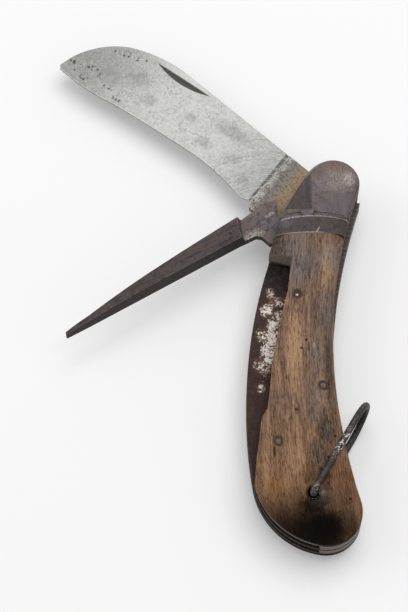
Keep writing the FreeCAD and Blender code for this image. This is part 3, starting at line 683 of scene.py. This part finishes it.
def liner_material(finish, bloom):
    graph = Skin("bloomed_liner" if bloom else "liner_sheet", finish)
    x, y = graph.x, graph.y
    mottle = graph.noise(graph.place, scale=0.6, detail=5.0, roughness=0.7)
    grit = graph.noise(graph.place, scale=2.0, detail=4.0, roughness=0.75)
    tint = graph.mix("iron_dark", "iron_umber", mottle.rise(0.42, 0.75) * 0.6)
    rim = abs(graph.facing[2]).fall(0.3, 0.7)
    front = graph.z.rise(*FRONT_LINER)
    left = x.fall(*LINER_LEFT)
    tint = graph.mix(tint, "iron_brown", rim * left * (front * 0.55 + 0.3))
    tint = graph.mix(tint, "iron_pale", rim * front * y.fall(*LINER_BUTT) * left * 0.4)
    tint = graph.mix(tint, "iron_dark", rim * x.rise(*LINER_RIGHT) * 0.8)
    height = mottle * 0.6 + grit * 0.4
    if bloom:
        zone = graph.patches(BLOOM_SPOTS) | graph.patches(BLOOM_WISPS) * 0.62
        rust = y.fall(*RUST_TOP) * (1 - rim)
        tint = graph.mix(tint, "rust_brown", rust * (mottle * 0.7 + 0.15))
        # Painted shade in the slots at the butt, between the scales
        tint = graph.mix(tint, "iron_dark", rust * y.fall(*SLOT_SHADE) * 0.85)
        stain = rust * zone.rise(0.0, 0.4) * mottle.rise(0.36, 0.56)
        tint = graph.mix(tint, "rust_red", stain * 0.5)
        flakes = graph.noise(graph.place, scale=0.85, detail=4.0, roughness=0.7).rise(0.4, 0.6)
        grains = graph.noise(graph.place, scale=2.2, detail=3.0, roughness=0.7).rise(0.38, 0.62)
        cover = zone * 0.6 + flakes * 0.4 + grains * 0.3
        tint = graph.mix(tint, "rust_gold", cover.rise(0.5, 0.9) * zone.rise(0.0, 0.3) * 0.6)
        crust = cover.rise(0.62, 0.98) * zone.rise(0.0, 0.2)
        tint = graph.mix(tint, "white_bloom_and_highlight", crust)
        height = height + crust * 0.4
    soft = graph.soft_normal(0.8)
    tint = graph.mix(tint, "iron_pale", graph.edge(soft) * grit.rise(0.3, 0.6) * 0.4)
    roughness = 0.66 + mottle * 0.15
    return graph.surface(
        tint, roughness, metallic=0.1, height=height, depth=0.14, soft=soft, gloss=0.25
    )


def spring_material(finish):
    graph = Skin("filed_spring", finish)
    y = graph.y
    mottle = graph.noise(graph.place, scale=0.6, detail=4.0, roughness=0.7)
    grit = graph.noise(graph.place, scale=2.0, detail=3.0, roughness=0.7)
    strokes = ((y + graph.z) * HATCH_PITCH + mottle * HATCH_WANDER).wave()
    hatch = strokes.rise(0.0, 0.9) * y.rise(*HATCH_END)
    tint = graph.mix("iron_brown", "iron_dark", mottle.rise(0.35, 0.7) * 0.6)
    tint = graph.mix(tint, "iron_dark", y.rise(*SPRING_ARM) * 0.7)
    tint = graph.mix(tint, "iron_pale", hatch * grit.rise(0.4, 0.65) * 0.16)
    tint = graph.mix(tint, "iron_dust_and_sheen", y.fall(*SPRING_BUTT) * 0.5)
    soft = graph.soft_normal()
    tint = graph.mix(tint, "iron_pale", graph.edge(soft) * 0.35)
    roughness = 0.5 + mottle * 0.2
    height = mottle * 0.4 + hatch * 0.3
    return graph.surface(
        tint, roughness, metallic=0.25, height=height, depth=0.1, soft=soft, gloss=0.4
    )


def blade_material(finish):
    graph = Skin("grey_blade", finish)
    axes = graph.turned(BLADE_ANGLE)
    along, across = axes
    cloud = graph.noise(graph.place, scale=0.09, detail=3.0, roughness=0.6)
    mottle = graph.noise(graph.place, scale=0.5, detail=5.0, roughness=0.75)
    stipple = graph.noise(graph.place, scale=1.2, detail=4.0, roughness=0.8)
    grit = graph.noise(graph.place, scale=2.2, detail=4.0, roughness=0.8)
    # Painted highlight: a soft band, brightest at the blade's middle, where the lamp reflects
    highlight = (abs(along - BLADE_MIDDLE) + mottle.drift(HIGHLIGHT_WANDER)).fall(*HIGHLIGHT_FADE)
    tint = graph.mix("steel_dull", "steel_mid", highlight * 0.65 + cloud.rise(0.4, 0.6) * 0.35)
    bright = (highlight * 0.3 + mottle * 0.7 + grit * 0.4).rise(0.5, 0.95)
    tint = graph.mix(tint, "steel_light", bright)
    areas = graph.noise(graph.place, scale=0.22, detail=3.0, roughness=0.6)
    uneven = areas.rise(0.36, 0.64) * 0.8 + 0.35
    dull = stipple.fall(0.36, 0.52) * 0.5 + grit.fall(0.36, 0.52) * 0.3
    tint = graph.mix(tint, "steel_dull", dull * uneven)
    specks = grit.rise(0.52, 0.66) * 0.25 + stipple.rise(0.52, 0.66) * 0.4
    tint = graph.mix(tint, "steel_light", specks)
    dark = stipple.fall(0.36, 0.46) * 0.18 + grit.fall(0.36, 0.46) * 0.1
    tint = graph.mix(tint, "steel_dark", dark * uneven)
    clouded = graph.patches(BLADE_CLOUDS, axes) * mottle.rise(0.34, 0.56)
    tint = graph.mix(tint, "steel_dull", clouded * 0.7)
    tint = graph.mix(tint, "steel_light", graph.blot(*SPINE_GLINT, axes) * 0.7)

    zone = graph.patches(PIT_SPOTS, axes)
    crowding = PIT_CROWDING / (finish.pit_size * MM)
    dots = graph.cells(graph.place, crowding) + stipple.drift(PIT_WANDER)
    pits = dots.fall(0.22, 0.56) * zone.rise(0.05, 0.5)
    stray = dots.fall(0.1, 0.26) * along.rise(*STRAY_PITS) * mottle.rise(0.48, 0.56)
    pits = pits | stray * 0.6
    tint = graph.mix(tint, "steel_dark", pits * 0.78)

    bank = along + mottle.drift(TANG_WANDER)
    root = along.fall(*TANG_END)
    tint = graph.mix(tint, "iron_brown", root * (stipple * 0.6 + 0.5))
    tint = graph.mix(tint, "lichen", root * bank.rise(*TANG_GREY) * 0.2)
    tint = graph.mix(tint, "iron_dark", root * stipple.rise(0.46, 0.62) * 0.7)
    stain = bank.fall(*TANG_GOLD)
    tint = graph.mix(tint, "rust_gold", stain * (stipple.fall(0.42, 0.66) * 0.6 + 0.3))
    crust = root * bank.rise(*TANG_CRUST)
    flecks = crust * grit.rise(0.4, 0.52) * mottle.rise(0.36, 0.52)
    tint = graph.mix(tint, "white_bloom_and_highlight", flecks * 0.5)
    tint = graph.mix(tint, "steel_dark", crust * grit.fall(0.38, 0.5) * 0.9)
    groove = along.rise(*PLUNGE_START) * along.fall(*PLUNGE_END)
    tint = graph.mix(tint, "steel_dark", groove * (mottle * 0.7 + 0.4))

    nick = graph.z.fall(*NICK_LEVEL) * across.fall(*NICK_SIDE) * along.rise(*NICK_START)
    tint = graph.mix(tint, "steel_dark", nick * 0.9)
    soft = graph.soft_normal(0.9)
    edge = graph.edge(soft)
    by_nick = along.rise(*NICK_LIP_START) * along.fall(*NICK_LIP_END) * across.rise(*NICK_LIP_SIDE)
    tint = graph.mix(tint, "steel_dull", edge * across.fall(*SPINE_SIDE) * (1 - by_nick) * 0.7)
    tint = graph.mix(tint, "steel_light", edge * by_nick)
    # Pale line along the cutting edge: partly the whetted bevel, partly painted highlight
    broad_edge = graph.edge(graph.soft_normal(3.0), low=0.01)
    whetted_and_highlight = broad_edge * across.rise(*EDGE_SIDE) * graph.facing[2].rise(0.3, 0.6)
    tint = graph.mix(tint, "white_bloom_and_highlight", whetted_and_highlight * 0.7)
    turn = graph.away(GRIND_CENTRE, axes=axes)
    arcs = graph.streaks(graph.join(turn, along, 0.0), GRIND_PITCHES, detail=2.0)
    scratches = arcs.rise(0.52, 0.66) * along.fall(*GRIND_PALE) * (1 - root)
    tint = graph.mix(tint, "steel_light", scratches * 0.45)
    scours = arcs.fall(0.34, 0.46) * along.fall(*GRIND_DULL) * (1 - root)
    tint = graph.mix(tint, "steel_dull", scours * 0.5)
    height = mottle * 0.4 + stipple * 0.5 - pits * 0.9 + crust * grit * 0.8 + scratches * 0.2
    roughness = 0.52 + mottle * 0.14 + stain * 0.15
    metallic = 0.25 - root * 0.2
    return graph.surface(tint, roughness, metallic, height, depth=0.1, soft=soft, gloss=0.35)


def pin_material(finish):
    graph = Skin("dull_pin", finish)
    mottle = graph.noise(graph.place, scale=1.4, detail=4.0, roughness=0.7)
    tint = graph.mix("iron_umber", "iron_dark", mottle.rise(0.4, 0.65) * 0.6)
    glinting, *plain_rivets = RIVETS
    for spot in (*plain_rivets, BUTT_PIN):
        reach = graph.away(spot)
        tint = graph.mix(tint, "iron_brown", reach.fall(*PIN_CORE) * (mottle * 0.8 + 0.2))
        tint = graph.mix(tint, "iron_dark", reach.rise(*PIN_RING) * reach.fall(*PIN_RIM) * 0.85)
    tint = graph.mix(tint, "iron_dark", graph.away(glinting).fall(*PIN_RIM) * 0.9)
    tint = graph.mix(tint, "iron_pale", graph.away(*RIVET_GLINT).fall(*GLINT_FADE))
    soft = graph.soft_normal()
    roughness = 0.5 + mottle * 0.2
    return graph.surface(
        tint, roughness, metallic=0.2, height=mottle, depth=0.12, soft=soft, gloss=0.3
    )


def wire_material(finish):
    graph = Skin("black_wire", finish)
    mottle = graph.noise(graph.place, scale=0.9, detail=4.0, roughness=0.7)
    grit = graph.noise(graph.place, scale=1.2, detail=4.0, roughness=0.75)
    reach = graph.away(BAIL_HOLE)
    # Brown on the wire's upward faces: partly rust, partly a painted highlight along the top of the
    # wire
    rust = mottle.rise(0.45, 0.7) * graph.facing[2].rise(0.4, 0.9)
    tint = graph.mix("wire_dark", "iron_brown", rust * 0.6)
    # Pale specks up the near leg: partly white flakes, partly painted glints
    flakes = reach.rise(*SPECK_START) * reach.fall(*SPECK_END) * graph.z.rise(*SPECK_LEVEL)
    chips_and_glints = (grit + flakes * 0.08).rise(0.62, 0.7) * flakes.rise(0.1, 0.5)
    tint = graph.mix(tint, "white_bloom_and_highlight", chips_and_glints * 0.95)
    # Pale by the hole: partly rubbed, partly a painted glint
    tint = graph.mix(tint, "iron_pale", reach.fall(*BAIL_RUB_AND_GLINT) * grit.rise(0.45, 0.6) * 0.5)
    soft = graph.soft_normal()
    roughness = 0.42 + mottle * 0.2
    height = mottle * 0.6 + grit * 0.4
    return graph.surface(
        tint, roughness, metallic=0.3, height=height, depth=0.14, soft=soft, gloss=0.45
    )


class KNIFE_OT_scales(bpy.types.Operator):
    """Worn wood on both scales, with painted shade at the butt and painted highlights on worn edges
    """

    bl_idname = "knife.scales"
    bl_label = "Wooden scales"

    def execute(self, context):
        dress(("front_scale", "back_scale"), wood_material(context.scene.knife_finish))
        return {"FINISHED"}


class KNIFE_OT_bolsters(bpy.types.Operator):
    """Brown patina on both bolsters and the pivot pin"""

    bl_idname = "knife.bolsters"
    bl_label = "Bolsters"

    def execute(self, context):
        finish = context.scene.knife_finish
        dress(("front_bolster", "back_bolster", "pivot_pin"), bolster_material(finish))
        return {"FINISHED"}


class KNIFE_OT_liners(bpy.types.Operator):
    """Dark sheet on the liners, with a pale bloom in the spike's recess"""

    bl_idname = "knife.liners"
    bl_label = "Liners"

    def execute(self, context):
        finish = context.scene.knife_finish
        dress(("front_liner", "back_liner"), liner_material(finish, False))
        dress(("center_liner",), liner_material(finish, True))
        return {"FINISHED"}


class KNIFE_OT_springs(bpy.types.Operator):
    """File strokes on both back springs"""

    bl_idname = "knife.springs"
    bl_label = "Back springs"

    def execute(self, context):
        dress(("blade_spring", "spike_spring"), spring_material(context.scene.knife_finish))
        return {"FINISHED"}


class KNIFE_OT_blade(bpy.types.Operator):
    """Grey pitted steel with a rusted tang"""

    bl_idname = "knife.blade"
    bl_label = "Blade"

    def execute(self, context):
        dress(("blade",), blade_material(context.scene.knife_finish))
        return {"FINISHED"}


class KNIFE_OT_spike(bpy.types.Operator):
    """Brown iron, rubbed bright on its ridges, with painted highlights and painted shade on its
    near side
    """

    bl_idname = "knife.spike"
    bl_label = "Marlinspike"

    def execute(self, context):
        dress(("spike",), spike_material(context.scene.knife_finish))
        return {"FINISHED"}


class KNIFE_OT_pins(bpy.types.Operator):
    """Dull metal on the pins and the rivets"""

    bl_idname = "knife.pins"
    bl_label = "Pins and rivets"

    def execute(self, context):
        names = [name for name in NODES if name.endswith(("pin", "rivet")) and name != "pivot_pin"]
        dress(names, pin_material(context.scene.knife_finish))
        return {"FINISHED"}


class KNIFE_OT_bail(bpy.types.Operator):
    """Blackened wire with pale flakes, painted glints and a painted highlight along its top"""

    bl_idname = "knife.bail"
    bl_label = "Bail"

    def execute(self, context):
        dress(("bail",), wire_material(context.scene.knife_finish))
        return {"FINISHED"}


def floor_material(stage):
    material = bpy.data.materials.new("pale_table")
    graph = Graph(material)
    bounce = graph.node("ShaderNodeBsdfDiffuse", inputs={"Color": (*stage.floor_bounce, 1.0)})
    lit_tone = [part * stage.floor_lit for part in stage.floor_white]
    lit = graph.node("ShaderNodeBsdfDiffuse", inputs={"Color": (*lit_tone, 1.0)})
    tones = {"Color": (*stage.floor_white, 1.0), "Strength": stage.floor_glow}
    glow = graph.node("ShaderNodeEmission", inputs=tones)
    shown = graph.node("ShaderNodeAddShader", inputs={0: lit, 1: glow})
    blend = graph.node("ShaderNodeMixShader", inputs={0: graph.seen(), 1: bounce, 2: shown})
    graph.node("ShaderNodeOutputMaterial", inputs={"Surface": blend})
    return material


def white_world(stage):
    world = bpy.data.worlds.new("even_sky")
    graph = Graph(world)
    white = (1.0, 1.0, 1.0, 1.0)
    lamp = graph.node("ShaderNodeBackground", inputs={"Strength": stage.sky, "Color": white})
    backdrop = {"Strength": 1.0, "Color": (*stage.floor_white, 1.0)}
    wall = graph.node("ShaderNodeBackground", inputs=backdrop)
    blend = graph.node("ShaderNodeMixShader", inputs={0: graph.seen(), 1: lamp, 2: wall})
    graph.node("ShaderNodeOutputWorld", inputs={"Surface": blend})
    return world


def add_lamp(name, place, aim, watts, size):
    lamp = bpy.data.lights.new(name, "AREA")
    lamp.energy = watts
    lamp.shape = "DISK"
    lamp.size = size
    holder = bpy.data.objects.new(name, lamp)
    holder.location = place
    holder.rotation_euler = (Vector(aim) - Vector(place)).to_track_quat("-Z", "Y").to_euler()
    bpy.context.scene.collection.objects.link(holder)


class KNIFE_OT_stage(bpy.types.Operator):
    """Pale table, soft lamps and the camera"""

    bl_idname = "knife.stage"
    bl_label = "Stage"

    def execute(self, context):
        scene = context.scene
        stage = scene.knife_stage
        mesh = bpy.data.meshes.new("table")
        top = bmesh.new()
        bmesh.ops.create_grid(top, x_segments=1, y_segments=1, size=stage.floor_reach)
        top.to_mesh(mesh)
        top.free()
        mesh.materials.append(floor_material(stage))
        table = bpy.data.objects.new("table", mesh)
        scene.collection.objects.link(table)

        scene.world = white_world(stage)
        target = Vector(stage.target)
        add_lamp("key", KEY_PLACE, target, stage.key_watts, KEY_SIZE)
        add_lamp("fill", FILL_PLACE, target, stage.fill_watts, FILL_SIZE)

        camera = bpy.data.cameras.new("view")
        camera.sensor_fit = "VERTICAL"
        camera.sensor_height = SENSOR_HEIGHT
        camera.lens = stage.lens
        holder = bpy.data.objects.new("view", camera)
        back = Vector((0, -math.cos(stage.elevation), math.sin(stage.elevation)))
        holder.location = target + back * stage.distance
        holder.rotation_euler = (math.pi / 2 - stage.elevation, 0, 0)
        scene.collection.objects.link(holder)
        scene.camera = holder
        scene.view_settings.view_transform = "Standard"
        return {"FINISHED"}


OPERATORS = (
    KNIFE_OT_scales,
    KNIFE_OT_bolsters,
    KNIFE_OT_liners,
    KNIFE_OT_springs,
    KNIFE_OT_blade,
    KNIFE_OT_spike,
    KNIFE_OT_pins,
    KNIFE_OT_bail,
    KNIFE_OT_stage,
)


class KNIFE_PT_sidebar(bpy.types.Panel):
    """Lists the knife's pieces and settings"""

    bl_idname = "KNIFE_PT_sidebar"
    bl_label = "Clasp knife"
    bl_space_type = "VIEW_3D"
    bl_region_type = "UI"
    bl_category = "Knife"

    def draw(self, context):
        for operator in OPERATORS:
            self.layout.operator(operator.bl_idname)
        for settings in (context.scene.knife_finish, context.scene.knife_stage):
            for name in settings.__annotations__:
                self.layout.prop(settings, name)


CLASSES = (KnifeFinish, KnifeStage, *OPERATORS, KNIFE_PT_sidebar)


def register():
    for kind in CLASSES:
        bpy.utils.register_class(kind)
    bpy.types.Scene.knife_finish = PointerProperty(type=KnifeFinish)
    bpy.types.Scene.knife_stage = PointerProperty(type=KnifeStage)


def unregister():
    del bpy.types.Scene.knife_finish
    del bpy.types.Scene.knife_stage
    for kind in reversed(CLASSES):
        bpy.utils.unregister_class(kind)


def main():
    register()
    bpy.ops.knife.scales()
    bpy.ops.knife.bolsters()
    bpy.ops.knife.liners()
    bpy.ops.knife.springs()
    bpy.ops.knife.blade()
    bpy.ops.knife.spike()
    bpy.ops.knife.pins()
    bpy.ops.knife.bail()
    bpy.ops.knife.stage()


if __name__ == "__main__":
    main()
